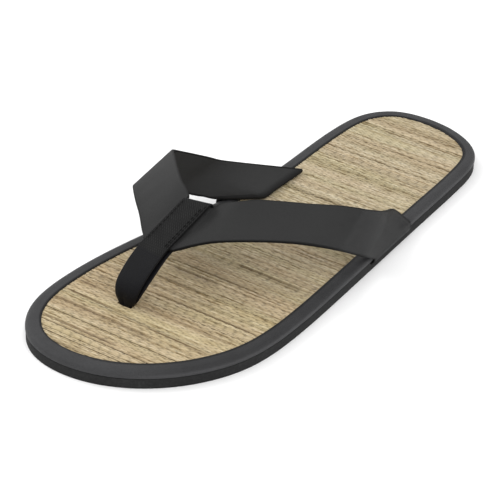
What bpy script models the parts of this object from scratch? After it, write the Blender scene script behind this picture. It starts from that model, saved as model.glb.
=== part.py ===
"""Left-foot woven-straw flip-flop: outsole, bound straw footbed, V strap and a webbing toe loop.

Frame: origin on the floor under the middle of the sandal, Z up, heel at +Y, toe at -Y,
the outer (little-toe) side at +X and the big-toe side at -X.  Sizes are in millimetres until
the last step of each builder, which scales them to metres.
"""
import bpy
import bmesh
import math
import numpy as np

MM = 0.001

# ---- sole stack, heights above the floor ------------------------------------------------
OUTSOLE_TOP = 4.8
OUTSOLE_INSET = 0.25          # outsole edge sits this far inside the binding's outside
OUTSOLE_BEVEL = 0.7
FOOTBED_BOTTOM = 5.1
STRAW_TOP = 8.3
FLANGE_SEAT = 7.4             # footbed top where it runs under the binding flange
FOOTBED_SHOULDER = 1.5        # slope of the footbed edge below the flange
FOOTBED_ROUND = 0.3           # broken top edge of the straw
BINDING_BAND = 6.7            # plan width of the binding seen from above
BINDING_SKIRT = 1.1           # thickness of its upright part round the footbed edge
GAP = 0.3
OUTLINE_STEPS = 112
CUT_OVERRUN = 2.0             # how far a cutter runs past the face it opens

# ---- V strap ------------------------------------------------------------------------------
STRAP_WALL = 1.5
STRAP_TAB_WALL = 0.9          # where it lies on the footbed and wraps the edge
STRAP_TAIL_WALL = 0.9         # skived end tucked under the binding
TAB_MID_Z = 9.48              # mid height of the strap where it lies on the binding
FOLD_RADIUS = 0.62
EDGE_RADIUS = 2.5             # mid-surface radius over the binding's outer edge
WRAP_OUT = 0.8                # mid-surface distance outside the outline
WRAP_LOW_Z = 6.2              # lower end of the upright run down the binding's side
TAIL_MID_Z = 3.95
TAIL_LENGTH = 9.0
TAIL_POCKET_Z = 3.1           # floor of its pocket in the outsole
TAIL_POCKET_MARGIN = 0.8
STRAP_COLUMNS = 9
ROW_STEPS = 3
LAST_ROW_STEPS = 6

# ---- toe loop -----------------------------------------------------------------------------
LOOP_WALL = 1.2
LOOP_OFFSET = 1.75            # loop mid-surface above and below the strap mid-surface
SLOT_CENTRE = (-15.4, -89.5)
SLOT_SIZE = (10.4, 5.2)       # through the footbed, across and along
SPLAY_POCKET = (11.0, 25.0)   # in the outsole, for the splayed ends
SPLAY_POCKET_Z = 2.85

# outline of the sole, clockwise seen from above, from the back of the heel
OUTLINE = (
    (2.0, 140.0), (21.5, 136.0), (37.0, 124.0), (43.0, 100.0), (45.5, 60.0), (48.0, 20.0),
    (50.5, -20.0), (52.0, -60.0), (49.0, -88.0), (37.5, -112.0), (19.0, -130.0),
    (-11.0, -140.0), (-34.5, -134.0), (-47.5, -118.0), (-52.0, -90.0), (-48.0, -50.0),
    (-39.5, -10.0), (-32.0, 30.0), (-31.5, 70.0), (-31.5, 104.0), (-26.5, 126.0),
    (-17.0, 136.0),
)

# binding section: distance in from the outline, height
BINDING_SECTION = (
    (0.15, 5.10), (0.00, 5.70), (0.12, 6.80), (0.65, 7.75), (1.60, 8.38), (2.90, 8.65),
    (4.60, 8.70), (BINDING_BAND - 0.5, 8.65), (BINDING_BAND, 8.45), (BINDING_BAND, 7.72),
    (4.60, 7.74), (2.90, 7.70), (1.95, 7.33), (1.15, 6.60), (BINDING_SKIRT, 5.10),
)

# strap sections from the V joint outward: front edge x y z, rear edge x y z
V_MIDDLE = (-13.3, -70.5, 29.2, -7.5, -44.2, 40.0)
OUTER_SECTIONS = (
    (-5.8, -70.1, 29.4, 0.2, -42.4, 40.7),
    (1.6, -65.2, 32.4, 5.6, -34.6, 41.3),
    (9.0, -59.2, 34.2, 9.2, -29.4, 40.7),
    (23.6, -45.3, 33.4, 17.8, -19.2, 38.9),
    (33.7, -34.8, 31.4, 26.5, -9.0, 36.6),
    (41.7, -26.3, 28.6, 34.4, 1.0, 34.0),
    (46.9, -16.4, 23.6, 42.0, 10.2, 30.9),
    (49.6, -6.0, 17.3, 47.8, 19.0, 27.0),
    (50.6, 1.5, 12.6, 43.6, 29.4, 20.8),
)
INNER_SECTIONS = (
    (-20.8, -69.8, 29.5, -15.2, -46.0, 39.3),
    (-25.3, -65.8, 30.9, -19.6, -41.0, 40.8),
    (-31.2, -59.8, 33.1, -25.6, -35.8, 42.6),
    (-38.3, -53.3, 34.8, -33.8, -28.2, 43.8),
    (-44.0, -47.4, 35.4, -40.8, -20.8, 43.6),
    (-47.2, -43.0, 34.8, -45.3, -15.5, 42.2),
    (-48.0, -36.0, 32.0, -45.2, -6.5, 37.3),
    (-46.8, -21.0, 24.4, -43.6, 8.8, 28.6),
    (-43.2, -5.0, 15.2, -41.8, 21.0, 21.6),
)

# strap feet, front to rear: share across the strap, x y z where it touches down, fold share
OUTER_FOOT = (
    (0.00, 47.5, 13.0, 9.45, 0.00), (0.50, 40.0, 26.0, 9.30, 0.00), (0.75, 36.5, 39.0, 9.25, 0.04),
    (0.88, 34.9, 46.4, 9.25, 0.50), (1.00, 33.7, 51.6, 9.25, 1.00),
)
INNER_FOOT = (
    (0.00, -34.5, 6.5, 9.45, 0.00), (0.12, -30.6, 10.0, 9.45, 1.00), (0.25, -26.6, 13.8, 9.35, 1.00),
    (0.50, -18.7, 21.6, 9.25, 1.00), (0.75, -18.6, 37.5, 9.25, 1.00), (1.00, -18.4, 53.5, 9.25, 1.00),
)
OUTER_WRAP_Y = (11.5, 47.0)   # along the sole edge, front and rear of the wrap
INNER_WRAP_Y = (7.0, 46.0)

# toe loop below the V: x y z of the webbing's mid-line and its width
FRONT_LAYER = (
    (-15.4, -100.5, 3.95, 9.0), (-15.4, -92.4, 3.95, 9.0), (-15.4, -91.1, 4.6, 9.0),
    (-15.4, -90.8, 6.6, 9.0), (-15.3, -91.1, 9.5, 9.4), (-15.0, -91.5, 13.0, 10.6),
    (-14.7, -89.9, 17.8, 12.2), (-14.3, -85.0, 22.6, 13.4), (-13.9, -77.7, 27.4, 13.8),
)
REAR_LAYER = (
    (-13.7, -74.9, 24.8, 13.8), (-14.1, -81.2, 20.4, 13.2), (-14.6, -86.0, 16.2, 12.0),
    (-15.0, -88.4, 12.0, 10.4), (-15.3, -88.5, 9.0, 9.4), (-15.4, -88.2, 6.6, 9.0),
    (-15.4, -87.9, 4.6, 9.0), (-15.4, -86.6, 3.95, 9.0), (-15.4, -78.7, 3.95, 9.0),
)
PATCH_WIDTH = 13.6
NOTCH_SKEW = 13.0             # degrees the rear edge of the V is off square

COLOURS = {
    "outsole": ((0.018, 0.018, 0.019), 0.80),
    "footbed": ((0.46, 0.38, 0.25), 0.78),
    "binding": ((0.042, 0.043, 0.046), 0.55),
    "strap": ((0.040, 0.040, 0.041), 0.50),
    "webbing": ((0.013, 0.014, 0.016), 0.85),
}


def clear_scene():
    for thing in list(bpy.data.objects):
        bpy.data.objects.remove(thing, do_unlink=True)


def material(name):
    colour, roughness = COLOURS[name]
    made = bpy.data.materials.new(name)
    made.use_nodes = True
    shader = made.node_tree.nodes["Principled BSDF"]
    shader.inputs["Base Color"].default_value = (*colour, 1.0)
    shader.inputs["Roughness"].default_value = roughness
    shader.inputs["Metallic"].default_value = 0.0
    return made


def closed_spline(points, count):
    """Even points on the periodic cubic spline through the given ones."""
    knots = np.array(points, dtype=float)
    size = len(knots)
    steps = np.linalg.norm(np.roll(knots, -1, axis=0) - knots, axis=1)
    matrix = np.zeros((size, size))
    right = np.zeros((size, 2))
    for i in range(size):
        before = steps[i - 1]
        after = steps[i]
        matrix[i, i - 1] = before
        matrix[i, i] = 2.0 * (before + after)
        matrix[i, (i + 1) % size] = after
        rise = (knots[(i + 1) % size] - knots[i]) / after
        fall = (knots[i] - knots[i - 1]) / before
        right[i] = 6.0 * (rise - fall)
    bend = np.linalg.solve(matrix, right)
    total = steps.sum()
    start = np.concatenate([[0.0], np.cumsum(steps)])
    out = []
    for k in range(count):
        s = total * k / count
        i = int(np.searchsorted(start, s, side="right")) - 1
        j = (i + 1) % size
        h = steps[i]
        a = (start[i + 1] - s) / h
        b = (s - start[i]) / h
        bent = ((a ** 3 - a) * bend[i] + (b ** 3 - b) * bend[j]) * h * h / 6.0
        out.append(a * knots[i] + b * knots[j] + bent)
    return np.array(out)


def outward_normals(curve):
    along = np.roll(curve, -1, axis=0) - np.roll(curve, 1, axis=0)
    normal = np.stack([-along[:, 1], along[:, 0]], axis=1)
    return normal / np.linalg.norm(normal, axis=1)[:, None]


def inset(curve, distance):
    return curve - outward_normals(curve) * distance


def smooth_path(knots, steps):
    """Centripetal Catmull-Rom through the knots; steps[i] pieces between knot i and i+1."""
    pts = [np.array(k, dtype=float) for k in knots]
    pts = [2.0 * pts[0] - pts[1]] + pts + [2.0 * pts[-1] - pts[-2]]
    out = [pts[1]]
    for i, pieces in enumerate(steps):
        p0, p1, p2, p3 = pts[i:i + 4]
        t0 = 0.0
        t1 = t0 + np.linalg.norm(p1 - p0) ** 0.5
        t2 = t1 + np.linalg.norm(p2 - p1) ** 0.5
        t3 = t2 + np.linalg.norm(p3 - p2) ** 0.5
        for k in range(1, pieces + 1):
            t = t1 + (t2 - t1) * k / pieces
            a1 = (t1 - t) / (t1 - t0) * p0 + (t - t0) / (t1 - t0) * p1
            a2 = (t2 - t) / (t2 - t1) * p1 + (t - t1) / (t2 - t1) * p2
            a3 = (t3 - t) / (t3 - t2) * p2 + (t - t2) / (t3 - t2) * p3
            b1 = (t2 - t) / (t2 - t0) * a1 + (t - t0) / (t2 - t0) * a2
            b2 = (t3 - t) / (t3 - t1) * a2 + (t - t1) / (t3 - t1) * a3
            out.append((t2 - t) / (t2 - t1) * b1 + (t - t1) / (t2 - t1) * b2)
    return out


def add_object(name, vertices, faces, slot):
    mesh = bpy.data.meshes.new(name)
    mesh.from_pydata([tuple(v * MM) for v in vertices], [], faces)
    work = bmesh.new()
    work.from_mesh(mesh)
    bmesh.ops.recalc_face_normals(work, faces=work.faces)
    if work.calc_volume(signed=True) < 0.0:
        bmesh.ops.reverse_faces(work, faces=work.faces)
    work.to_mesh(mesh)
    work.free()
    thing = bpy.data.objects.new(name, mesh)
    bpy.context.scene.collection.objects.link(thing)
    if slot is not None:
        mesh.materials.append(material(slot))
        mesh.shade_smooth()
        mesh.set_sharp_from_angle(angle=math.radians(35.0))
    return thing


def ring(curve, depth, height):
    at = inset(curve, depth)
    return np.column_stack([at, np.full(len(at), height)])


def stacked_rings(name, rings, slot, closed):
    """Rings joined in turn; closed joins the last to the first, otherwise both ends are capped."""
    count = len(rings[0])
    vertices = np.vstack(rings)
    faces = []
    pairs = len(rings) if closed else len(rings) - 1
    for r in range(pairs):
        low = r * count
        high = ((r + 1) % len(rings)) * count
        for i in range(count):
            j = (i + 1) % count
            faces.append((low + i, low + j, high + j, high + i))
    if not closed:
        faces.append(tuple(range(count)))
        faces.append(tuple(range((len(rings) - 1) * count, len(rings) * count)))
    return add_object(name, vertices, faces, slot)


def grid_solid(name, rows, walls, slot):
    """A sheet of the given mid-surface rows, thickened by each row's wall."""
    grid = np.array(rows)
    along = np.gradient(grid, axis=0)
    across = np.gradient(grid, axis=1)
    normal = np.cross(along, across)
    normal /= np.linalg.norm(normal, axis=2)[:, :, None]
    half = np.array(walls)[:, None, None] / 2.0
    height, width = grid.shape[:2]
    top = (grid + normal * half).reshape(-1, 3)
    bottom = (grid - normal * half).reshape(-1, 3)
    vertices = np.vstack([top, bottom])
    under = height * width
    faces = []
    for r in range(height - 1):
        for c in range(width - 1):
            a = r * width + c
            faces.append((a, a + 1, a + width + 1, a + width))
            faces.append((under + a, under + a + width, under + a + width + 1, under + a + 1))
    for c in range(width - 1):
        for a in (c, (height - 1) * width + c):
            faces.append((a, a + 1, under + a + 1, under + a))
    for r in range(height - 1):
        for a in (r * width, r * width + width - 1):
            faces.append((a, a + width, under + a + width, under + a))
    return add_object(name, vertices, faces, slot)


def block(name, corners, low, high):
    count = len(corners)
    vertices = [np.array((x, y, low)) for x, y in corners]
    vertices += [np.array((x, y, high)) for x, y in corners]
    faces = [tuple(range(count)), tuple(range(count, 2 * count))]
    for i in range(count):
        j = (i + 1) % count
        faces.append((i, j, count + j, count + i))
    made = add_object(name, vertices, faces, None)
    made.hide_render = True
    made.display_type = "WIRE"
    return made


def cut(target, cutter):
    step = target.modifiers.new("cut " + cutter.name, "BOOLEAN")
    step.operation = "DIFFERENCE"
    step.solver = "EXACT"
    step.object = cutter


def edge_point(curve, side, y):
    """Point of the outline on one side at a given y, with its outward normal."""
    normals = outward_normals(curve)
    for i in range(len(curve)):
        j = (i + 1) % len(curve)
        here = curve[i]
        there = curve[j]
        if here[0] * side <= 0.0 or (here[1] - y) * (there[1] - y) > 0.0:
            continue
        share = (y - here[1]) / (there[1] - here[1])
        normal = normals[i] * (1.0 - share) + normals[j] * share
        return here + (there - here) * share, normal / np.linalg.norm(normal)
    raise ValueError("no outline point at that y")


def table_at(table, share):
    rows = np.array(table)
    return [float(np.interp(share, rows[:, 0], rows[:, k])) for k in range(1, rows.shape[1])]


def foot_points(curve, side, share, foot, wrap_y, arch_end):
    """The strap's fold, the flat on the footbed, the wrap and the tail, for one column."""
    touch_x, touch_y, touch_z, fold = table_at(foot, share)
    edge, out2 = edge_point(curve, side, wrap_y[0] + (wrap_y[1] - wrap_y[0]) * share)
    out = np.array((out2[0], out2[1], 0.0))
    up = np.array((0.0, 0.0, 1.0))
    base = np.array((edge[0], edge[1], 0.0))
    touch = np.array((touch_x, touch_y, touch_z))
    flat = base - out * (EDGE_RADIUS - WRAP_OUT) + up * TAB_MID_Z
    toward = flat - touch
    toward /= np.linalg.norm(toward)
    r = FOLD_RADIUS
    folded = [touch + toward * r + up * 2.0 * r,
              touch + toward * 0.4 * r + up * 1.8 * r,
              touch + up * r,
              touch + toward * 0.4 * r + up * 0.2 * r,
              touch + toward * r,
              (touch + flat) / 2.0 + toward * r / 2.0,
              flat]
    for degrees in (25.0, 50.0, 75.0):
        turn = math.radians(degrees)
        folded.append(flat + out * EDGE_RADIUS * math.sin(turn)
                      - up * EDGE_RADIUS * (1.0 - math.cos(turn)))
    side_top = base + out * WRAP_OUT + up * WRAP_LOW_Z
    count = len(folded)
    blended = []
    for k, point in enumerate(folded):
        straight = arch_end + (side_top - arch_end) * (k + 1) / (count + 1)
        blended.append(straight + (point - straight) * fold)
    tail = [side_top,
            base + out * WRAP_OUT + up * (TAIL_MID_Z + 1.25),
            base + out * (WRAP_OUT - 0.25) + up * (TAIL_MID_Z + 0.5),
            base + out * (WRAP_OUT - 0.9) + up * (TAIL_MID_Z + 0.08),
            base - out * (TAIL_LENGTH * 0.3) + up * TAIL_MID_Z,
            base - out * TAIL_LENGTH + up * TAIL_MID_Z]
    return blended, tail


def strap_side(curve, side, sections, foot, wrap_y):
    """Rows of one arm from the V outward, and the wall thickness of each row."""
    columns = []
    tail_rows = 0
    for c in range(STRAP_COLUMNS):
        share = c / (STRAP_COLUMNS - 1)
        knots = []
        for row in sections:
            front = np.array(row[:3])
            rear = np.array(row[3:])
            knots.append(front + (rear - front) * share)
        blended, tail = foot_points(curve, side, share, foot, wrap_y, knots[-1])
        steps = [ROW_STEPS] * (len(knots) - 1) + [LAST_ROW_STEPS]
        arch = smooth_path(knots + [blended[0]], steps)
        columns.append(arch + blended[1:] + tail)
        tail_rows = len(tail)
        arch_rows = len(arch)
    rows = [[column[r] for column in columns] for r in range(len(columns[0]))]
    walls = []
    for r in range(len(rows)):
        if r < arch_rows - LAST_ROW_STEPS:
            walls.append(STRAP_WALL)
        elif r < arch_rows:
            part = (r - arch_rows + LAST_ROW_STEPS + 1) / LAST_ROW_STEPS
            walls.append(STRAP_WALL + (STRAP_TAB_WALL - STRAP_WALL) * part)
        elif r < len(rows) - tail_rows + 1:
            walls.append(STRAP_TAB_WALL)
        else:
            walls.append(STRAP_TAIL_WALL)
    return rows, walls


def build_strap(curve):
    outer_rows, outer_walls = strap_side(curve, 1.0, OUTER_SECTIONS, OUTER_FOOT, OUTER_WRAP_Y)
    inner_rows, inner_walls = strap_side(curve, -1.0, INNER_SECTIONS, INNER_FOOT, INNER_WRAP_Y)
    front = np.array(V_MIDDLE[:3])
    rear = np.array(V_MIDDLE[3:])
    middle = [front + (rear - front) * c / (STRAP_COLUMNS - 1) for c in range(STRAP_COLUMNS)]
    rows = outer_rows[::-1] + [middle] + inner_rows
    walls = outer_walls[::-1] + [STRAP_WALL] + inner_walls
    return grid_solid("strap", rows, walls, "strap")


def tail_pocket(curve, name, side, wrap_y):
    """Cutter for the recess in the outsole top that takes one strap tail."""
    inner = []
    outer = []
    front = wrap_y[0] - TAIL_POCKET_MARGIN
    rear = wrap_y[1] + TAIL_POCKET_MARGIN
    for share in (0.0, 0.25, 0.5, 0.75, 1.0):
        edge, out = edge_point(curve, side, front + (rear - front) * share)
        inner.append(edge - out * (TAIL_LENGTH + TAIL_POCKET_MARGIN))
        outer.append(edge + out * CUT_OVERRUN)
    return block(name, inner + outer[::-1], TAIL_POCKET_Z, OUTSOLE_TOP + CUT_OVERRUN)


def loop_pocket(name, size, low, high):
    """Rectangular cutter centred on the toe slot."""
    x, y = SLOT_CENTRE
    wide = size[0] / 2.0
    deep = size[1] / 2.0
    corners = [(x - wide, y - deep), (x + wide, y - deep), (x + wide, y + deep), (x - wide, y + deep)]
    return block(name, corners, low, high)


def build_loop():
    """Webbing up from the slot, over the V, round its rear edge, back under it and down."""
    front = np.array(V_MIDDLE[:3])
    rear = np.array(V_MIDDLE[3:])
    length = float(np.linalg.norm(rear - front))
    along = (rear - front) / length
    across = np.array((1.0, 0.0, 0.0)) - along * along[0]
    across /= np.linalg.norm(across)
    up = np.cross(across, along)
    skew = math.tan(math.radians(NOTCH_SKEW))

    def joint_row(distance, height):
        share = min(max(distance / length, 0.0), 1.0)
        spot = front + along * distance + up * height
        return np.append(spot, (PATCH_WIDTH, skew * share))

    knots = [np.append(row, 0.0) for row in FRONT_LAYER]
    knots += [joint_row(length * share, LOOP_OFFSET) for share in (0.0, 0.33, 0.67, 1.0)]
    for degrees in (45.0, 90.0, 135.0):
        turn = math.radians(degrees)
        knots.append(joint_row(length + LOOP_OFFSET * math.sin(turn), LOOP_OFFSET * math.cos(turn)))
    knots += [joint_row(length * share, -LOOP_OFFSET) for share in (1.0, 0.67, 0.33, 0.0)]
    knots += [np.append(row, 0.0) for row in REAR_LAYER]
    path = smooth_path(knots, [2] * (len(knots) - 1))
    rows = []
    for i, spot in enumerate(path):
        ahead = path[min(i + 1, len(path) - 1)][:3] - path[max(i - 1, 0)][:3]
        ahead /= np.linalg.norm(ahead)
        wide = np.array((1.0, 0.0, 0.0)) - ahead * ahead[0]
        wide = wide / np.linalg.norm(wide) + along * spot[4]
        rows.append([spot[:3] + wide * spot[3] * share for share in (-0.5, -0.17, 0.17, 0.5)])
    return grid_solid("toe_loop", rows, [LOOP_WALL] * len(rows), "webbing")


def build_all():
    clear_scene()
    curve = closed_spline(OUTLINE, OUTLINE_STEPS)
    outsole = stacked_rings("outsole", [
        ring(curve, OUTSOLE_INSET + OUTSOLE_BEVEL, 0.0),
        ring(curve, OUTSOLE_INSET, OUTSOLE_BEVEL),
        ring(curve, OUTSOLE_INSET, OUTSOLE_TOP - OUTSOLE_BEVEL / 2.0),
        ring(curve, OUTSOLE_INSET + OUTSOLE_BEVEL / 2.0, OUTSOLE_TOP),
    ], "outsole", False)
    core = BINDING_SKIRT + GAP
    top = BINDING_BAND + GAP
    footbed = stacked_rings("footbed", [
        ring(curve, core, FOOTBED_BOTTOM),
        ring(curve, core, FLANGE_SEAT - FOOTBED_SHOULDER),
        ring(curve, core + FOOTBED_SHOULDER, FLANGE_SEAT),
        ring(curve, top, FLANGE_SEAT),
        ring(curve, top, STRAW_TOP - FOOTBED_ROUND),
        ring(curve, top + FOOTBED_ROUND, STRAW_TOP),
    ], "footbed", False)
    stacked_rings("binding", [ring(curve, d, z) for d, z in BINDING_SECTION], "binding", True)
    build_strap(curve)
    build_loop()
    cut(outsole, tail_pocket(curve, "pocket_outer", 1.0, OUTER_WRAP_Y))
    cut(outsole, tail_pocket(curve, "pocket_inner", -1.0, INNER_WRAP_Y))
    cut(outsole, loop_pocket("pocket_loop", SPLAY_POCKET, SPLAY_POCKET_Z, OUTSOLE_TOP + CUT_OVERRUN))
    cut(footbed, loop_pocket("slot_loop", SLOT_SIZE, FOOTBED_BOTTOM - CUT_OVERRUN,
                             STRAW_TOP + CUT_OVERRUN))


build_all()
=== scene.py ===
import math
import random

import bpy
import bmesh
import numpy as np
from mathutils import Matrix, Vector


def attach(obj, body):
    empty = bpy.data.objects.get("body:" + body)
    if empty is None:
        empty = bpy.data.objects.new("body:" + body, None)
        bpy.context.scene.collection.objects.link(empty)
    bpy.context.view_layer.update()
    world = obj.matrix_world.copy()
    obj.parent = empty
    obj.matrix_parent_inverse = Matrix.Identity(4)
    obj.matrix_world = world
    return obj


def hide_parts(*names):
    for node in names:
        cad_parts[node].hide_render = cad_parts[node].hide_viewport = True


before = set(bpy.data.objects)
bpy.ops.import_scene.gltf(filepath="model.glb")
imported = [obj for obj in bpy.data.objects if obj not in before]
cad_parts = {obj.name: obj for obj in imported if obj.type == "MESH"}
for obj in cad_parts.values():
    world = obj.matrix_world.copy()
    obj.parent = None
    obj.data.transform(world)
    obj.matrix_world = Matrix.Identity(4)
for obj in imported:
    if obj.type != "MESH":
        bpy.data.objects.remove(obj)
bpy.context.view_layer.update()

# Woven-straw flip-flop, left foot. +Z up, heel at +Y, toe at -Y, little-toe side at +X.
# Lengths in the dictionaries are millimetres; the frame itself is in metres.

mm = 0.001
up = np.array((0.0, 0.0, 1.0))
sharpAngle = math.radians(40.0)    # smooth shading stops at edges sharper than this
building = {}    # holds the node tree that add puts its nodes in


def begin(tree):
    building["tree"] = tree
    return tree


def fill(node, inputs):
    # a node gives its first output; an output is linked in, anything else becomes the input's own value
    for key, value in inputs.items():
        if isinstance(value, bpy.types.Node):
            value = value.outputs[0]
        if isinstance(value, bpy.types.NodeSocket):
            node.id_data.links.new(value, node.inputs[key])
        else:
            node.inputs[key].default_value = value
    return node


def add(kind, inputs=None, **settings):
    made = building["tree"].nodes.new(kind)
    for key, value in settings.items():
        setattr(made, key, value)
    return fill(made, inputs or {})


def calc(operation, first, second=0.0, third=0.0):
    return add("ShaderNodeMath", {0: first, 1: second, 2: third}, operation=operation)


def times(first, second):
    return calc("MULTIPLY", first, second)


def spread(value, low, high, newLow=0.0, newHigh=1.0):
    return add("ShaderNodeMapRange", {
        "Value": value, "From Min": low, "From Max": high, "To Min": newLow, "To Max": newHigh})


def blend(share, first, second):
    return add("ShaderNodeMix", {0: share, 2: first, 3: second}, data_type="FLOAT")


def blendColour(share, first, second, mode="MIX"):
    made = add("ShaderNodeMix", {0: share, 6: first, 7: second}, data_type="RGBA", blend_type=mode)
    return made.outputs[2]


def ramp(value, stops):
    # a stop is a place and a colour, or a place and one number for a grey
    made = add("ShaderNodeValToRGB", {"Fac": value})
    points = made.color_ramp.elements
    while len(points) < len(stops):
        points.new(0.5)
    for point, (place, colour) in zip(points, stops):
        point.position = place
        point.color = (*colour, 1.0) if isinstance(colour, tuple) else (colour, colour, colour, 1.0)
    return made


def darken(share, colour, grey):
    return blendColour(share, colour, (grey, grey, grey, 1.0))


def mask(name):
    return add("ShaderNodeAttribute", attribute_name=name).outputs["Fac"]


def noise(vector, scale, detail=2.0, roughness=0.5):
    return add("ShaderNodeTexNoise", {
        "Vector": vector, "Scale": scale, "Detail": detail, "Roughness": roughness})


def stretched(vector, amounts):
    return add("ShaderNodeVectorMath", {0: vector, 1: amounts}, operation="MULTIPLY")


def scaled(vector, amount):
    return add("ShaderNodeVectorMath", {0: vector, "Scale": amount}, operation="SCALE")


def combined(kind, *values):
    return add("ShaderNodeCombine" + kind, dict(enumerate(values)))


def parted(vector):
    return add("ShaderNodeSeparateXYZ", {0: vector}).outputs


def newMaterial(name):
    material = bpy.data.materials.new(name)
    material.use_nodes = True
    begin(material.node_tree)
    return material, add("ShaderNodeTexCoord").outputs["Object"]


def coated(material, colour, roughness, normal, gloss=0.5):
    inputs = {"Base Color": colour, "Roughness": roughness, "Specular IOR Level": gloss}
    if normal:
        inputs["Normal"] = normal
    fill(material.node_tree.nodes["Principled BSDF"], inputs)
    return material


def shaderGroup(name, numbers, results):
    # a vector and the named numbers go in, the named numbers come out
    tree = begin(bpy.data.node_groups.new(name, "ShaderNodeTree"))
    tree.interface.new_socket("Vector", in_out="INPUT", socket_type="NodeSocketVector")
    for label, value in numbers.items():
        socket = tree.interface.new_socket(label, in_out="INPUT", socket_type="NodeSocketFloat")
        socket.default_value = value
    for label in results:
        tree.interface.new_socket(label, in_out="OUTPUT", socket_type="NodeSocketFloat")
    return tree, tree.nodes.new("NodeGroupInput").outputs, tree.nodes.new("NodeGroupOutput")


def use(group, inputs):
    return add("ShaderNodeGroup", inputs, node_tree=group).outputs


def ownMap():
    return add("ShaderNodeUVMap", uv_map="surface")


def drifting(place, size, low, high):
    return use(toneDrift, {"Vector": place, "Size": size, "Low": low, "High": high})["Factor"]


def bump(height, depth):
    return add("ShaderNodeBump", {"Height": height, "Strength": 1.0, "Distance": depth})


def makeDriftGroup():
    # slow change of tone over a surface
    tree, given, out = shaderGroup("toneDrift", {"Size": 0.02, "Low": 0.9, "High": 1.1}, ("Factor",))
    cloud = noise(given["Vector"], calc("DIVIDE", 1.0, given["Size"]), 3.0, 0.55)
    fill(out, {"Factor": spread(cloud, 0.3, 0.7, given["Low"], given["High"])})
    return tree


def makeGrainGroup():
    # pebbled grain of coated leather, in the units of the vector it is given
    tree, given, out = shaderGroup("leatherGrain", {"Size": 0.7}, ("Height", "Creases"))
    bend = add("ShaderNodeTexNoise", {"Vector": given["Vector"], "Scale": 0.8, "Detail": 2.0})
    pulled = add("ShaderNodeVectorMath", {
        0: bend.outputs["Color"], 1: (0.5, 0.5, 0.5)}, operation="SUBTRACT")
    moved = add("ShaderNodeVectorMath", {
        0: pulled, 1: (0.9, 0.9, 0.9), 2: given["Vector"]}, operation="MULTIPLY_ADD")
    rate = calc("DIVIDE", 1.0, given["Size"])
    cells = add("ShaderNodeTexVoronoi", {"Vector": moved, "Scale": rate}, feature="DISTANCE_TO_EDGE")
    creases = spread(cells.outputs["Distance"], 0.0, 0.14)
    fine = noise(given["Vector"], times(rate, 3.5))
    fill(out, {"Height": calc("MULTIPLY_ADD", fine, 0.45, creases), "Creases": creases})
    return tree


def makeFibreGroup():
    # long fine fibres that run along X of the vector, which is in metres
    tree, given, out = shaderGroup("plantFibre", {"Along": 120.0, "Across": 5200.0}, ("Streak", "Blotch"))
    rates = combined("XYZ", given["Along"], given["Across"], given["Across"])
    streak = noise(stretched(given["Vector"], rates), 1.0)
    blotch = noise(stretched(given["Vector"], (110.0, 1000.0, 0.0)), 1.0, 3.0)
    fill(out, {"Streak": streak, "Blotch": blotch})
    return tree


def makeWeaveGroup():
    # plain weave in millimetres of the piece's own map: X across, Y along
    tree, given, out = shaderGroup("tapeWeave", {"Pitch": 0.8}, ("Height",))
    parts = parted(given["Vector"])
    turn = calc("DIVIDE", math.pi, given["Pitch"])
    across, along = (calc("SINE", times(parts[axis], turn)) for axis in ("X", "Y"))
    checker = times(across, along)
    over = calc("SIGN", checker)
    fill(out, {"Height": calc("MULTIPLY_ADD", over, 0.25, calc("ABSOLUTE", checker))})
    return tree


toneDrift = makeDriftGroup()
leatherGrain = makeGrainGroup()
plantFibre = makeFibreGroup()
tapeWeave = makeWeaveGroup()


def runLength(points, closed=False):
    # distance walked along the points, from zero
    if closed:
        points = np.concatenate([points, points[:1]])
    return np.concatenate([[0.0], np.cumsum(np.linalg.norm(np.diff(points, axis=0), axis=1))])


def link(thing):
    bpy.context.scene.collection.objects.link(thing)
    return thing


def newPiece(name, points, edges=(), faces=()):
    mesh = bpy.data.meshes.new(name)
    mesh.from_pydata(points, edges, faces)
    return link(bpy.data.objects.new(name, mesh))


def pointsOf(mesh):
    # in millimetres
    flat = np.empty(len(mesh.vertices) * 3)
    mesh.vertices.foreach_get("co", flat)
    return flat.reshape(-1, 3) / mm


def store(mesh, label, values):
    # one number for each point
    mesh.attributes.new(label, "FLOAT", "POINT").data.foreach_set("value", values)


def loft(name, grid, material, ringed=False, uv=None, masks=None):
    # grid[row, column] in metres, each row a closed loop; a ringed grid also closes end to end
    rows, columns = grid.shape[:2]
    faces = []
    corners = []
    for r in range(rows if ringed else rows - 1):
        for c in range(columns):
            square = ((r, c), (r, c + 1), (r + 1, c + 1), (r + 1, c))
            faces.append([(i % rows) * columns + j % columns for i, j in square])
            corners += square
    for r in (() if ringed else (0, rows - 1)):
        faces.append([r * columns + c for c in range(columns)])
        corners += [(r, c) for c in range(columns)]
    piece = newPiece(name, grid.reshape(-1, 3).tolist(), [], faces)
    mesh = piece.data
    if uv is not None:
        # in millimetres, with one more row or column where the grid closes
        layer = mesh.uv_layers.new(name="surface")
        index = np.array(corners)
        layer.data.foreach_set("uv", uv[index[:, 0], index[:, 1]].ravel())
    for key, values in (masks or {}).items():
        store(mesh, key, values.ravel())
    work = bmesh.new()
    work.from_mesh(mesh)
    bmesh.ops.recalc_face_normals(work, faces=work.faces)
    if work.calc_volume(signed=True) < 0.0:
        bmesh.ops.reverse_faces(work, faces=work.faces)
    work.to_mesh(mesh)
    work.free()
    mesh.materials.append(material)
    mesh.shade_smooth()
    mesh.set_sharp_from_angle(angle=sharpAngle)
    return piece


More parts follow.
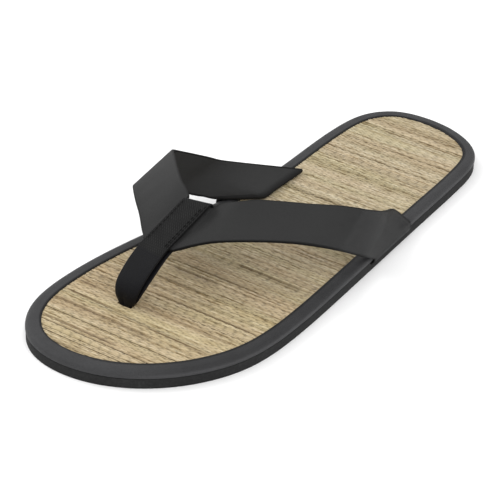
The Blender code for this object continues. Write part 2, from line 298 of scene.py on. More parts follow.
def refined(points, rounds, closed):
    # four-point subdivision: a smooth curve or sheet through the given rows
    for _ in range(rounds):
        if closed:
            before, here, after, beyond = (np.roll(points, shift, 0) for shift in (1, 0, -1, -2))
        else:
            first = 2.0 * points[:1] - points[1:2]
            last = 2.0 * points[-1:] - points[-2:-1]
            padded = np.concatenate([first, points, last])
            before, here, after, beyond = padded[:-3], padded[1:-2], padded[2:-1], padded[3:]
        middles = (9.0 * (here + after) - before - beyond) / 16.0
        mixed = np.empty((2 * len(here),) + here.shape[1:])
        mixed[0::2] = here
        mixed[1::2] = middles
        points = mixed if closed else np.concatenate([mixed, points[-1:]])
    return points


def geometryTree(name, inputs):
    tree = begin(bpy.data.node_groups.new(name, "GeometryNodeTree"))
    tree.interface.new_socket("Geometry", in_out="OUTPUT", socket_type="NodeSocketGeometry")
    tree.interface.new_socket("Geometry", in_out="INPUT", socket_type="NodeSocketGeometry")
    for label in inputs:
        tree.interface.new_socket(label, in_out="INPUT", socket_type="NodeSocketFloat")
    tree.interface.new_socket("Seed", in_out="INPUT", socket_type="NodeSocketInt")
    tree.interface.new_socket("Material", in_out="INPUT", socket_type="NodeSocketMaterial")
    return tree, tree.nodes.new("NodeGroupInput").outputs


def drawn(key, seed, low=0.0, high=1.0):
    # one random number for each key
    return add("FunctionNodeRandomValue", {"Min": low, "Max": high, "ID": key, "Seed": seed}).outputs[1]


def endTree(geometry, material):
    realized = add("GeometryNodeRealizeInstances", {0: geometry})
    coloured = add("GeometryNodeSetMaterial", {"Geometry": realized, "Material": material})
    add("NodeGroupOutput", {"Geometry": coloured})


def sweep(curve, profile, material):
    # a smooth tube along every curve
    swept = add("GeometryNodeCurveToMesh", {"Curve": curve, "Profile Curve": profile, "Fill Caps": True})
    smooth = add("GeometryNodeSetShadeSmooth", {"Geometry": swept})
    endTree(smooth, material)


def grow(name, guide, tree, values):
    # runs a node tree over a guide and keeps the result as a plain mesh
    step = guide.modifiers.new(name, "NODES")
    step.node_group = tree
    for item in tree.interface.items_tree:
        if item.in_out == "INPUT" and item.name in values:
            step[item.identifier] = values[item.name]
    ready = guide.evaluated_get(bpy.context.evaluated_depsgraph_get())
    mesh = bpy.data.meshes.new_from_object(ready)
    guide.modifiers.remove(step)
    bpy.data.objects.remove(guide)
    return link(bpy.data.objects.new(name, mesh))


def guideLines(name, lines, keys):
    # loose edges, each with the key of the row it belongs to
    edges = [(2 * i, 2 * i + 1) for i in range(len(lines))]
    guide = newPiece(name, [point for line in lines for point in line], edges)
    store(guide.data, "row", np.repeat(keys, 2).astype(float))
    return guide


sole = {
    "outlineHeight": 5.7,      # where the binding is widest
    "outlineBand": 0.02,       # its points lie this near that height
    "refine": 2,               # each step doubles the outline's points
    "bandWidth": 6.7,          # binding seen from above
    "footbedSkirt": 1.4,       # footbed edge inside the binding's upright part
    "footbedShoulder": 1.5,
    "footbedBottom": 5.1,
    "footbedSeat": 7.4,
    "boardTop": 7.6,           # dark ground under the straw
    "boardInset": 0.3,         # from the binding's inner edge
    "boardSlope": 0.2,
}
# how much narrower the binding is seen from above: place along the shoe, inner side, outer side
bandNarrow = (
    (-140.0, -0.4, -0.4), (-105.0, -0.1, -0.1), (-60.0, 0.0, 0.6), (0.0, 0.0, 0.7), (50.0, 0.0, 0.6),
    (90.0, 0.0, 1.0), (120.0, 0.0, 0.6), (140.0, -0.3, -0.3),
)


def readOutline():
    points = pointsOf(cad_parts["binding"].data)
    ring = points[np.abs(points[:, 2] - sole["outlineHeight"]) < sole["outlineBand"]][:, :2]
    ring = np.unique(ring.round(3), axis=0)
    ring = ring[np.argsort(np.arctan2(ring[:, 1], ring[:, 0]))]
    return refined(ring, sole["refine"], True)


outline = readOutline()
outlineAlong = np.roll(outline, -1, 0) - np.roll(outline, 1, 0)
outlineOut = np.stack([outlineAlong[:, 1], -outlineAlong[:, 0]], 1)
outlineOut /= np.linalg.norm(outlineOut, axis=1)[:, None]
outlineRun = runLength(outline, True)


def soleRing(depth, height):
    # one ring at a depth inside the outline; both may vary along it
    at = outline - outlineOut * np.reshape(depth, (-1, 1))
    return np.column_stack([at, np.zeros(len(at)) + height])


def soleRings(places):
    # a depth and a height for each ring
    return np.array([soleRing(depth, height) for depth, height in places]) * mm


def crossings(ring, axis, value):
    here = ring
    there = np.roll(ring, -1, 0)
    hit = (here[:, axis] - value) * (there[:, axis] - value) < 0.0
    share = (value - here[hit, axis]) / (there[hit, axis] - here[hit, axis])
    other = 1 - axis
    return np.sort(here[hit, other] + (there[hit, other] - here[hit, other]) * share)


narrowAt, narrowInner, narrowOuter = np.array(bandNarrow).T
narrowing = np.where(outline[:, 0] > 0.0, np.interp(outline[:, 1], narrowAt, narrowOuter),
                     np.interp(outline[:, 1], narrowAt, narrowInner))
print("outline: %d points, %.0f mm round" % (len(outline), outlineRun[-1]))


straw = {
    "pitch": 0.92,             # strand to strand
    "pitchSpread": 0.13,
    "gapChance": (0.17, 0.02),    # of a wider gap, at toe and at heel
    "gapExtra": 0.32,
    "width": 1.04,
    "height": 0.44,
    "warpSpacing": 2.6,        # a strand dips once in two of these
    "threadEvery": 2,          # warp spacings from one heel-to-toe thread to the next
    "rise": 0.08,              # over and under the threads
    "wobble": 0.12,
    "middle": 7.95,            # height of a strand's middle
    "tuck": 0.7,               # ends run this far into the binding
    "step": 0.9,
    "shortest": 4.0,
    "threadSpan": 100.0,       # threads lie within this width
    "threadWidth": 0.26,
    "threadStep": 4.0,
    "threadWobble": 0.25,
    "threadKeys": 1000,        # keeps their random numbers apart from the strands'
    "seed": 7,
    "ends": (-137.0, 137.0),
    "cuts": (-52.0, 32.0),     # the mat is three pieces lengthwise
    "stainAndShadowFade": 5.0,
}
# brown strands, and at -46.8 and -52.3 painted shadow of the strap and post: along the shoe, from, to,
# lean to the outer side, half width, depth
strawStainsAndShadow = (
    (-24.0, 0.0, 10.0, 0.0, 0.9, 0.50),
    (-33.2, 2.0, 41.0, -0.02, 1.5, 0.80),
    (-39.0, 18.0, 30.0, 0.0, 1.0, 0.45),
    (-46.8, -22.0, 24.0, 0.0, 1.2, 0.60),
    (-52.3, -20.0, 9.0, -0.03, 2.6, 0.70),
    (-62.4, -18.0, 6.0, 0.0, 1.6, 0.40),
    (-74.2, -14.0, 44.0, -0.01, 0.8, 0.60),
    (-78.6, -43.0, -30.0, 0.0, 0.9, 0.50),
    (-87.0, -46.0, -30.0, 0.0, 1.4, 0.60),
    (-87.2, -12.0, 41.0, -0.01, 1.3, 0.35),
    (-95.2, -46.0, 38.0, -0.065, 0.9, 0.80),
    (-103.5, -46.0, 10.0, -0.02, 1.2, 0.55),
    (-106.3, -3.0, 11.0, 0.0, 0.9, 0.50),
    (-108.6, -46.0, 24.0, 0.0, 1.0, 0.45),
    (-117.4, -43.0, 2.0, -0.02, 1.0, 0.60),
    (-120.6, -43.0, 24.0, 0.0, 0.9, 0.40),
    (-130.8, -27.0, -6.0, 0.0, 0.9, 0.50),
)
toeSlot = {"middle": (-15.4, -89.5), "size": (7.8, 4.2)}


def makeStrawMaterial():
    material, place = newMaterial("straw")
    tone = mask("tone")
    fibre = use(plantFibre, {"Vector": place})
    own = calc("MULTIPLY_ADD", calc("SUBTRACT", tone, 0.5), 0.65, 0.5)
    mixed = calc("MULTIPLY_ADD", calc("SUBTRACT", fibre["Blotch"], 0.5), 2.0, own)
    colour = ramp(mixed, (
        (0.00, (0.205, 0.148, 0.075)), (0.14, (0.330, 0.262, 0.155)), (0.40, (0.425, 0.350, 0.228)),
        (0.75, (0.478, 0.402, 0.272)), (1.00, (0.560, 0.486, 0.352))))
    # bands of cooler and warmer, darker and lighter straw from heel to toe
    hue = noise(stretched(place, (9.0, 60.0, 0.0)), 1.3, 1.0)
    tint = ramp(hue, ((0.36, (0.98, 1.00, 0.94)), (0.50, 1.0), (0.64, (1.00, 0.97, 0.96))))
    foreWarmth = ramp(spread(parted(place)["Y"], -0.06, 0.0), ((0.0, (1.04, 1.00, 0.94)), (1.0, 1.0)))
    warmed = blendColour(1.0, tint, foreWarmth, "MULTIPLY")
    tinted = blendColour(1.0, colour, warmed, "MULTIPLY")
    band = noise(stretched(place, (5.0, 210.0, 0.0)), 1.0)
    streaked = spread(fibre["Streak"], 0.3, 0.7, 0.84, 1.08)
    # painted shade: strands are darker where they dip under the threads
    uneven = calc("MULTIPLY_ADD", noise(place, 420.0, 1.0), 1.6, mask("lift"))
    sunkShade = spread(uneven, -0.45, 0.6, 0.64, 1.03)
    slow = spread(band, 0.34, 0.66, 0.90, 1.05)
    shade = times(times(streaked, sunkShade), slow)
    grey = combined("Color", shade, shade, shade)
    # the stains and the painted shadow are strongest on the dark strands
    ragged = times(spread(fibre["Blotch"], 0.35, 0.65, 0.5, 1.2), spread(tone, 0.2, 0.7, 1.3, 0.45))
    stainAndShadow = times(mask("stainAndShadow"), ragged)
    stainedAndShaded = blendColour(stainAndShadow, tinted, (0.105, 0.064, 0.028, 1.0))
    shaded = blendColour(1.0, stainedAndShaded, grey, "MULTIPLY")
    return coated(material, shaded, 0.62, bump(fibre["Streak"], 0.00012), 0.18)


def makeGroundMaterial():
    material, place = newMaterial("strawGround")
    fibre = use(plantFibre, {"Vector": place, "Along": 900.0, "Across": 900.0})
    colour = ramp(fibre["Streak"], ((0.3, (0.190, 0.125, 0.055)), (0.7, (0.310, 0.225, 0.110))))
    return coated(material, colour, 0.95, bump(fibre["Streak"], 0.0003))


def makeStrandTree():
    tree, given = geometryTree("strawStrands", (
        "Step", "Width", "Height", "Warp Spacing", "Rise", "Wobble"))
    row = add("GeometryNodeInputNamedAttribute", {"Name": "row"}, data_type="FLOAT")
    curve = add("GeometryNodeMeshToCurve", {"Mesh": given["Geometry"]})
    fine = add("GeometryNodeResampleCurve", {"Curve": curve, "Length": given["Step"]}, mode="LENGTH")
    x = parted(add("GeometryNodeInputPosition"))["X"]
    turns = calc("ADD", calc("DIVIDE", x, given["Warp Spacing"]), row)
    uneven = drawn(row, calc("ADD", given["Seed"], 11.0), -0.5, 0.5)
    wave = calc("COSINE", times(calc("ADD", turns, uneven), math.pi))
    far = times(row, 13.7)
    where = combined("XYZ", times(x, 95.0), far, times(far, 0.31))
    drift = noise(where, 1.0)
    sideways = times(calc("SUBTRACT", drift, 0.5), given["Wobble"])
    offset = combined("XYZ", 0.0, sideways, times(wave, given["Rise"]))
    woven = add("GeometryNodeSetPosition", {"Geometry": fine, "Offset": offset})
    girth = drawn(row, calc("ADD", given["Seed"], 5.0), 0.84, 1.12)
    thick = times(girth, spread(drift, 0.3, 0.7, 0.92, 1.08))
    strand = add("GeometryNodeSetCurveRadius", {"Curve": woven, "Radius": thick})
    for label, value in (("tone", drawn(row, given["Seed"])), ("lift", wave)):
        strand = add("GeometryNodeStoreNamedAttribute", {
            "Geometry": strand, "Name": label, "Value": value}, data_type="FLOAT")
    level = add("GeometryNodeSetCurveNormal", {"Curve": strand}, mode="Z_UP")
    circle = add("GeometryNodeCurvePrimitiveCircle", {"Resolution": 6, "Radius": 0.5})
    oval = add("GeometryNodeTransform", {
        "Geometry": circle, "Scale": combined("XYZ", given["Width"], given["Height"], 1.0)})
    sweep(level, oval, given["Material"])
    return tree


def strandRows():
    draw = random.Random(straw["seed"])
    y = straw["ends"][0]
    rows = []
    while y < straw["ends"][1]:
        rows.append(y)
        y += straw["pitch"] + draw.uniform(-1.0, 1.0) * straw["pitchSpread"]
        if draw.random() < np.interp(y, straw["ends"], straw["gapChance"]):
            y += straw["gapExtra"]
    return rows


def withoutSlot(low, high, place, axis):
    # a line's run, cut where it meets the toe slot
    along, across = toeSlot["middle"][axis], toeSlot["middle"][1 - axis]
    half = toeSlot["size"][axis] / 2.0
    if abs(place - across) > toeSlot["size"][1 - axis] / 2.0 or not low < along < high:
        return [(low, high)]
    return [(low, along - half), (along + half, high)]


# brown stains on the straw, with painted shadow of the strap and post beside the post
def stainAndShadowStraw(piece):
    x, y = pointsOf(piece.data).T[:2]
    stainAndShadow = np.zeros(len(x))
    for along, start, stop, lean, half, depth in strawStainsAndShadow:
        inside = np.clip(np.minimum(x - start, stop - x) / straw["stainAndShadowFade"], 0.0, 1.0)
        off = (y - along - lean * (x - start)) / half
        stainAndShadow = np.maximum(stainAndShadow, depth * inside * np.exp(-off ** 2))
    store(piece.data, "stainAndShadow", stainAndShadow)


def strawLines(edge, places, axis, shortest):
    # across the mat (axis 0) or along it (axis 1); places holds each line's key and where it lies
    z = straw["middle"] * mm
    lines = []
    keys = []
    for key, place in places:
        ends = crossings(edge, 1 - axis, place)
        for low, high in zip(ends[0::2], ends[1::2]):
            for run in (withoutSlot(low, high, place, axis) if high - low >= shortest else ()):
                spots = [(at * mm, place * mm) for at in run]
                lines.append([(*(spot[::-1] if axis else spot), z) for spot in spots])
                keys.append(key)
    return lines, keys


def makeStraw():
    edge = soleRing(sole["bandWidth"] - straw["tuck"] - narrowing, 0.0)[:, :2]
    tree = makeStrandTree()
    values = {
        "Step": straw["step"] * mm, "Width": straw["width"] * mm, "Height": straw["height"] * mm,
        "Warp Spacing": straw["warpSpacing"] * mm, "Rise": straw["rise"] * mm,
        "Wobble": straw["wobble"] * mm, "Seed": straw["seed"], "Material": makeStrawMaterial()}
    limits = sorted(straw["ends"] + straw["cuts"])
    allRows = list(enumerate(strandRows()))
    pieces = []
    for name, low, high in zip(("strawToe", "strawMiddle", "strawHeel"), limits[:-1], limits[1:]):
        rows = [(key, y) for key, y in allRows if low <= y < high]
        guide = guideLines(name + "Guide", *strawLines(edge, rows, 0, straw["shortest"]))
        pieces.append(grow(name, guide, tree, values))
        stainAndShadowStraw(pieces[-1])
    apart = straw["warpSpacing"] * straw["threadEvery"]
    count = int(straw["threadSpan"] / apart)
    rows = [(k + straw["threadKeys"], (k + 0.5) * apart) for k in range(-count // 2, count // 2 + 1)]
    threads = dict(
        values, Step=straw["threadStep"] * mm, Width=straw["threadWidth"] * mm,
        Height=straw["threadWidth"] * mm, Rise=0.0, Wobble=straw["threadWobble"] * mm)
    guide = guideLines("warpGuide", *strawLines(edge, rows, 1, 0.0))
    pieces.append(grow("warpThreads", guide, tree, threads))
    for piece in pieces:
        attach(piece, "root")
    skirt, shoulder, seat = sole["footbedSkirt"], sole["footbedShoulder"], sole["footbedSeat"]
    inset = sole["boardInset"]
    board = soleRings((
        (skirt, sole["footbedBottom"]), (skirt, seat - shoulder), (skirt + shoulder, seat),
        (sole["bandWidth"] + inset - narrowing, seat),
        (sole["bandWidth"] + (inset + sole["boardSlope"]) - narrowing, sole["boardTop"])))
    ground = loft("strawGround", board, makeGroundMaterial())
    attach(ground, "root")
    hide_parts("footbed")
    print("straw: %d faces" % sum(len(piece.data.polygons) for piece in pieces))


makeStraw()


outsole = {
    "inset": 0.25, "top": 4.8, "round": 0.4,
    "rim": 5.6, "recess": 0.75, "recessSlope": 0.6,
    "pocketFloor": 3.1, "pocketDepth": 9.8, "pocketSlope": 0.1,
    "outerPocket": (10.7, 47.8), "innerPocket": (6.2, 46.8),
    "padPitch": 3.7, "padRadius": 1.45, "padFlare": 1.18, "padInset": 7.8,
    "padOverlap": 0.1,         # higher than the recess is deep, so that pads and floor meet
    "padRows": 45, "padColumns": 16,    # either side of the middle
}


def makeRubberMaterial():
    material, place = newMaterial("foamRubber")
    drift = drifting(place, 0.03, 0.85, 1.2)
    speck = add("ShaderNodeTexVoronoi", {"Vector": place, "Scale": 1600.0})
    fine = noise(place, 900.0, 3.0)
    height = calc("MULTIPLY_ADD", fine, 0.7, speck.outputs["Distance"])
    colour = ramp(times(fine, drift), ((0.25, 0.009), (0.60, 0.018), (0.85, 0.030)))
    roughness = spread(fine, 0.3, 0.7, 0.66, 0.84)
    return coated(material, colour, roughness, bump(height, 0.00012), 0.16)


def makePadTree():
    tree, given = geometryTree("treadPads", ("Pad Radius", "Pad Height"))
    pad = add("GeometryNodeMeshCone", {
        "Vertices": 6, "Radius Top": times(given["Pad Radius"], outsole["padFlare"]),
        "Radius Bottom": given["Pad Radius"], "Depth": given["Pad Height"]})
    placed = add("GeometryNodeInstanceOnPoints", {
        "Points": add("GeometryNodeMeshToPoints", {"Mesh": given["Geometry"]}), "Instance": pad})
    endTree(placed, given["Material"])
    return tree


def makeOutsole():
    rubber = makeRubberMaterial()
    inPocket = np.zeros(len(outline), dtype=bool)
    for side, (low, high) in ((1.0, outsole["outerPocket"]), (-1.0, outsole["innerPocket"])):
        inPocket |= (outline[:, 0] * side > 0.0) & (outline[:, 1] > low) & (outline[:, 1] < high)
    top = np.where(inPocket, outsole["pocketFloor"], outsole["top"])
    side, bend, deep = outsole["inset"], outsole["round"], outsole["pocketDepth"]
    rings = soleRings((
        (outsole["rim"] + outsole["recessSlope"], outsole["recess"]), (outsole["rim"], 0.0),
        (side + bend, 0.0), (side + 0.3 * bend, 0.3 * bend), (side, bend), (side, 0.5 * outsole["top"]),
        (side, top - 0.5 * bend), (side + 0.15 * bend, top - 0.15 * bend), (side + 0.5 * bend, top),
        (deep, top), (deep + outsole["pocketSlope"], outsole["top"])))
    body = loft("outsoleBody", rings, rubber)
    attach(body, "root")
    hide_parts("outsole")
    inner = soleRing(outsole["padInset"], 0.0)[:, :2]
    pitch = outsole["padPitch"]
    height = outsole["recess"] * mm + outsole["padOverlap"] * mm
    spots = []
    for j in range(-outsole["padRows"], outsole["padRows"] + 1):
        y = j * pitch * math.sqrt(0.75)
        ends = crossings(inner, 1, y)
        for i in range(-outsole["padColumns"], outsole["padColumns"] + 1):
            x = (i + 0.5 * (j % 2)) * pitch
            if len(ends) >= 2 and ends[0] < x < ends[-1]:
                spots.append((x * mm, y * mm, 0.0))
    pads = grow("treadPads", newPiece("padSpots", spots), makePadTree(), {
        "Pad Radius": outsole["padRadius"] * mm, "Pad Height": height, "Material": rubber})
    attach(pads, "root")
    print("outsole: %d tread pads" % len(spots))


makeOutsole()


# section of the tape: distance in from the outline, height above the floor
bindingSection = (
    (0.15, 5.10), (0.00, 5.70), (0.12, 6.80), (0.65, 7.75), (1.60, 8.38), (2.90, 8.65),
    (4.60, 8.70), (6.20, 8.65), (6.70, 8.45), (6.70, 7.72), (4.60, 7.74), (2.90, 7.70),
    (1.95, 7.33), (1.15, 6.60), (1.10, 5.10),
)
binding = {
    "pucker": 0.09,            # soft gathers round toe and heel
    "puckerSpacing": 7.5,
    "puckerFrom": 7.9,         # only the top of the tape gathers
    "puckerLeast": 0.15,       # share of it left where the outline is straight
    "gathers": ((1.0, 1.0), (0.61, 0.7), (1.7, 0.5)),    # rate and weight of each wave
    "narrowFrom": 2.9, "narrowRun": 3.0,
    "shadeFrom": 5.4,            # painted shade along the straw edge of the tape
    "shadeOuter": 4.9, "shadeWidth": 0.8,
    "seed": 3,
}


def makeBindingMaterial():
    material, place = newMaterial("bindingTape")
    grain = use(leatherGrain, {"Vector": ownMap(), "Size": 0.42})
    drift = drifting(place, 0.012, 0.86, 1.16)
    colour = ramp(times(grain["Creases"], drift), (
        (0.0, (0.026, 0.026, 0.027)), (0.6, (0.033, 0.033, 0.034)), (1.0, (0.042, 0.042, 0.044))))
    # painted highlight: on the outer side the bend is lighter; painted shade: as far as the waist the flat
    # above it is darker
    spot = parted(place)
    outerSide = spread(spot["X"], 0.015, 0.035)
    fore = times(outerSide, spread(spot["Y"], -0.005, 0.020, 1.0, 0.0))
    bend = times(spread(spot["Z"], 0.0053, 0.0061), spread(spot["Z"], 0.0064, 0.0072, 1.0, 0.0))
    flat = times(spread(spot["Z"], 0.0064, 0.0076), fore)
    paintedLight = calc("MULTIPLY_ADD", times(bend, outerSide), 0.30, 1.0)
    paintedHighlightAndShade = scaled(colour, calc("MULTIPLY_ADD", flat, -0.30, paintedLight))
    # painted shade: the tape darkens where it meets the straw
    shadedAtStraw = darken(spread(mask("strawEdgeShade"), 0.15, 0.9, 0.0, 0.9), paintedHighlightAndShade, 0.004)
    roughness = spread(drift, 0.86, 1.16, 0.62, 0.50)
    return coated(material, shadedAtStraw, roughness, bump(grain["Height"], 0.00003), 0.19)


def makeBinding():
    section = refined(np.array(bindingSection), 1, True)
    across = runLength(section, True)
    draw = random.Random(binding["seed"])
    shifts = [draw.uniform(0.0, math.tau) for _ in range(3)]
    run = outlineRun[:-1]
    turn = math.tau / binding["puckerSpacing"]
    gather = sum(weight * np.sin(run * turn * rate + shift)
                 for (rate, weight), shift in zip(binding["gathers"], shifts))
    gather = gather / sum(weight for rate, weight in binding["gathers"])
    bend = np.linalg.norm(np.roll(outlineOut, -1, 0) - np.roll(outlineOut, 1, 0), axis=1)
    tight = np.clip(bend / bend.max(), binding["puckerLeast"], 1.0)
    rings = []
    for depth, height in section:
        low = binding["pucker"] * gather * tight if height > binding["puckerFrom"] else 0.0
        shift = narrowing * np.clip((depth - binding["narrowFrom"]) / binding["narrowRun"], 0.0, 1.0)
        rings.append(soleRing(depth - shift, height - np.abs(low)))
    grid = np.array(rings) * mm
    uv = np.stack(np.meshgrid(outlineRun, across), 2)
    # where the painted shade along the straw begins, lower on the outer side
    shadeFrom = np.where(outline[:, 0] > 0.0, binding["shadeOuter"], binding["shadeFrom"])
    strawEdgeShade = np.clip((section[:, :1] - shadeFrom) / binding["shadeWidth"], 0.0, 1.0)
    tape = loft("bindingTape", grid, makeBindingMaterial(), True, uv, {"strawEdgeShade": strawEdgeShade})
    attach(tape, "root")
    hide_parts("binding")
    print("binding: %d faces" % len(tape.data.polygons))


makeBinding()


# sections from the V outward: front edge x y z, rear edge x y z
vFront = np.array((-13.3, -70.5, 29.2))
vRear = np.array((-9.6, -46.4, 40.1))
outerSections = (
    (-5.8, -70.1, 29.4, -3.3, -42.8, 40.5),
    (-2.0, -67.8, 30.9, -1.2, -38.8, 40.5),
    (1.6, -65.2, 32.4, 5.6, -34.6, 42.2),
    (9.0, -59.2, 34.2, 9.2, -29.4, 42.0),
    (23.6, -45.3, 33.4, 17.8, -19.2, 39.5),
    (33.7, -34.8, 31.4, 26.5, -9.0, 36.6),
    (41.7, -26.3, 28.6, 34.4, 1.0, 34.0),
    (46.9, -16.4, 23.6, 42.0, 10.2, 30.9),
    (49.6, -6.0, 17.3, 47.8, 19.0, 27.0),
    (50.6, 1.5, 12.6, 43.6, 29.4, 20.8),
)
innerSections = (
    (-20.8, -69.8, 29.5, -15.8, -46.9, 39.6),
    (-25.3, -65.8, 30.9, -17.2, -41.7, 40.6),
    (-31.2, -59.8, 33.1, -25.6, -35.8, 42.6),
    (-38.3, -53.3, 34.8, -33.8, -28.2, 43.8),
    (-44.0, -47.4, 35.4, -40.8, -20.8, 43.6),
    (-47.2, -43.0, 34.8, -45.3, -15.5, 42.2),
    (-48.0, -36.0, 32.0, -45.2, -6.5, 37.3),
    (-46.8, -21.0, 24.4, -43.6, 8.8, 28.6),
    (-43.2, -5.0, 14.5, -41.8, 21.0, 21.6),
)
# feet, front to rear: share across the strap, x y z where it touches down, fold share
outerFoot = (
    (0.00, 47.5, 13.0, 9.45, 0.00), (0.50, 40.0, 26.0, 9.30, 0.00), (0.75, 36.5, 39.0, 9.25, 0.04),
    (0.88, 34.9, 46.4, 9.25, 0.50), (1.00, 33.7, 51.6, 9.25, 1.00),
)
innerFoot = (
    (0.00, -34.5, 6.5, 9.45, 0.00), (0.12, -30.6, 10.0, 9.45, 1.00), (0.25, -26.6, 13.8, 9.35, 1.00),
    (0.50, -18.7, 21.6, 9.25, 1.00), (0.75, -18.6, 37.5, 9.25, 1.00), (1.00, -18.4, 53.5, 9.25, 1.00),
)
strap = {
    "wall": 1.5, "tabWall": 0.9,
    "tabHeight": 9.48, "edgeRadius": 2.5,
    # the hairpin of a folded foot: its radius, and its points toward the edge and up, in radii
    "foldRadius": 0.62,
    "foldCurve": ((1.0, 2.0), (0.4, 1.8), (0.0, 1.0), (0.4, 0.2), (1.0, 0.0)),
    "wrapOut": 0.55, "wrapLow": 6.2,
    "tailHeight": 3.95, "tailLength": 9.0,
    "tailCurve": ((0.0, 1.25), (0.25, 0.5), (0.9, 0.08)),    # in from the wrap, above the tail
    "outerWrap": (11.5, 47.0), "innerWrap": (7.0, 46.0),
    "columns": 9, "rowSteps": 3, "lastRowSteps": 6,
    "edgeRound": 0.28,
    "easePasses": 26,          # softens the bend where the outer arm runs into its wrap
}


# place along the strap from the V, place across it from the front edge, turn in degrees,
# half length, half width, height: a trough where the height is below zero
strapCreases = (
    (82.0, 20.0, 28.0, 9.0, 2.2, -0.35), (80.0, 24.5, 30.0, 8.0, 1.8, 0.25),
    (86.0, 10.0, 60.0, 8.0, 2.5, -0.25), (9.0, 6.0, 65.0, 9.0, 1.8, 0.22),
    (12.5, 12.0, 75.0, 10.0, 2.0, -0.22), (-11.0, 14.0, 95.0, 10.0, 2.0, -0.25),
    (-30.0, 12.0, 80.0, 12.0, 3.0, 0.30), (-56.0, 16.0, 70.0, 10.0, 2.5, -0.30),
    (-66.0, 10.0, 40.0, 7.0, 2.0, 0.25),
)


def mixAt(t, start, stop, first, last):
    return (stop - t) / (stop - start) * first + (t - start) / (stop - start) * last


def smoothPath(knots, steps):
    # centripetal Catmull-Rom; steps[i] pieces between knot i and i + 1
    points = [np.array(k, dtype=float) for k in knots]
    points = [2.0 * points[0] - points[1]] + points + [2.0 * points[-1] - points[-2]]
    out = [points[1]]
    for i, pieces in enumerate(steps):
        p0, p1, p2, p3 = points[i:i + 4]
        t1 = np.linalg.norm(p1 - p0) ** 0.5
        t2 = t1 + np.linalg.norm(p2 - p1) ** 0.5
        t3 = t2 + np.linalg.norm(p3 - p2) ** 0.5
        for k in range(1, pieces + 1):
            t = t1 + (t2 - t1) * k / pieces
            middle = mixAt(t, t1, t2, p1, p2)
            before = mixAt(t, 0.0, t2, mixAt(t, 0.0, t1, p0, p1), middle)
            after = mixAt(t, t1, t3, middle, mixAt(t, t2, t3, p2, p3))
            out.append(mixAt(t, t1, t2, before, after))
    return out


def edgePoint(side, y):
    there = np.roll(outline, -1, 0)
    hit = (outline[:, 0] * side > 0.0) & ((outline[:, 1] - y) * (there[:, 1] - y) <= 0.0)
    i = int(np.nonzero(hit)[0][0])
    share = (y - outline[i, 1]) / (there[i, 1] - outline[i, 1])
    at = outline[i] + (there[i] - outline[i]) * share
    return np.append(at, 0.0), np.append(outlineOut[i], 0.0)


def footPoints(side, share, foot, wrap, archEnd):
    rows = np.array(foot)
    *touch, fold = (np.interp(share, rows[:, 0], rows[:, k]) for k in range(1, 5))
    base, out = edgePoint(side, wrap[0] + (wrap[1] - wrap[0]) * share)
    flat = base - out * (strap["edgeRadius"] - strap["wrapOut"]) + up * strap["tabHeight"]
    toward = (flat - touch) / np.linalg.norm(flat - touch)
    r = strap["foldRadius"]
    folded = [touch + toward * ahead * r + up * above * r for ahead, above in strap["foldCurve"]]
    folded += [(touch + flat) / 2.0 + toward * r / 2.0, flat]
    for degrees in (25.0, 50.0, 75.0):
        turn = math.radians(degrees)
        folded.append(flat + strap["edgeRadius"] * (out * math.sin(turn) - up * (1.0 - math.cos(turn))))
    sideTop = base + out * strap["wrapOut"] + up * strap["wrapLow"]
    blended = []
    # an unfolded sheet runs straight: on the outer foot to the side of the sole, on the inner to its top
    goal, ahead, onTop = (sideTop, 1, len(folded))
    if side < 0.0:
        goal, ahead, onTop = (flat, strap["lastRowSteps"], len(strap["foldCurve"]) + 1)
    for k, point in enumerate(folded):
        straight = archEnd + (goal - archEnd) * (k + ahead) / (onTop + ahead)
        blended.append(straight + (point - straight) * fold if k <= onTop else point)
    low = strap["tailHeight"]
    tail = [sideTop]
    for inward, above in strap["tailCurve"]:
        tail.append(base + out * (strap["wrapOut"] - inward) + up * (low + above))
    tail += [base - out * (strap["tailLength"] * share) + up * low for share in (0.3, 1.0)]
    return blended, tail


def strapArm(side, sections, foot, wrap):
    edges = np.array(sections)
    columns = []
    for share in np.linspace(0.0, 1.0, strap["columns"]):
        knots = list(edges[:, :3] + (edges[:, 3:] - edges[:, :3]) * share)
        blended, tail = footPoints(side, share, foot, wrap, knots[-1])
        steps = [strap["rowSteps"]] * (len(knots) - 1) + [strap["lastRowSteps"]]
        arch = smoothPath(knots + [blended[0]], steps)
        columns.append(arch + blended[1:] + tail)
    rows = np.array(columns).transpose(1, 0, 2)
    if side > 0.0:
        first, last = len(arch) - 2 * strap["lastRowSteps"], len(arch) + len(blended) - 3
        for _ in range(strap["easePasses"]):
            around = rows[first - 1:last - 1] + 2.0 * rows[first:last] + rows[first + 1:last + 1]
            rows[first:last] = around / 4.0
    thins = (len(arch) - strap["lastRowSteps"] - 1, len(arch) - 1)
    walls = np.interp(np.arange(len(rows)), thins, (strap["wall"], strap["tabWall"]))
    # rows of the inner fold, painted darker as shade
    fold = np.zeros(len(rows))
    fold[len(arch) - 1:len(arch) + 3] = 1.0
    return rows, walls, fold


def sheetNormals(grid):
    normal = np.cross(np.gradient(grid, axis=1), np.gradient(grid, axis=0))
    return normal / np.linalg.norm(normal, axis=2)[:, :, None]


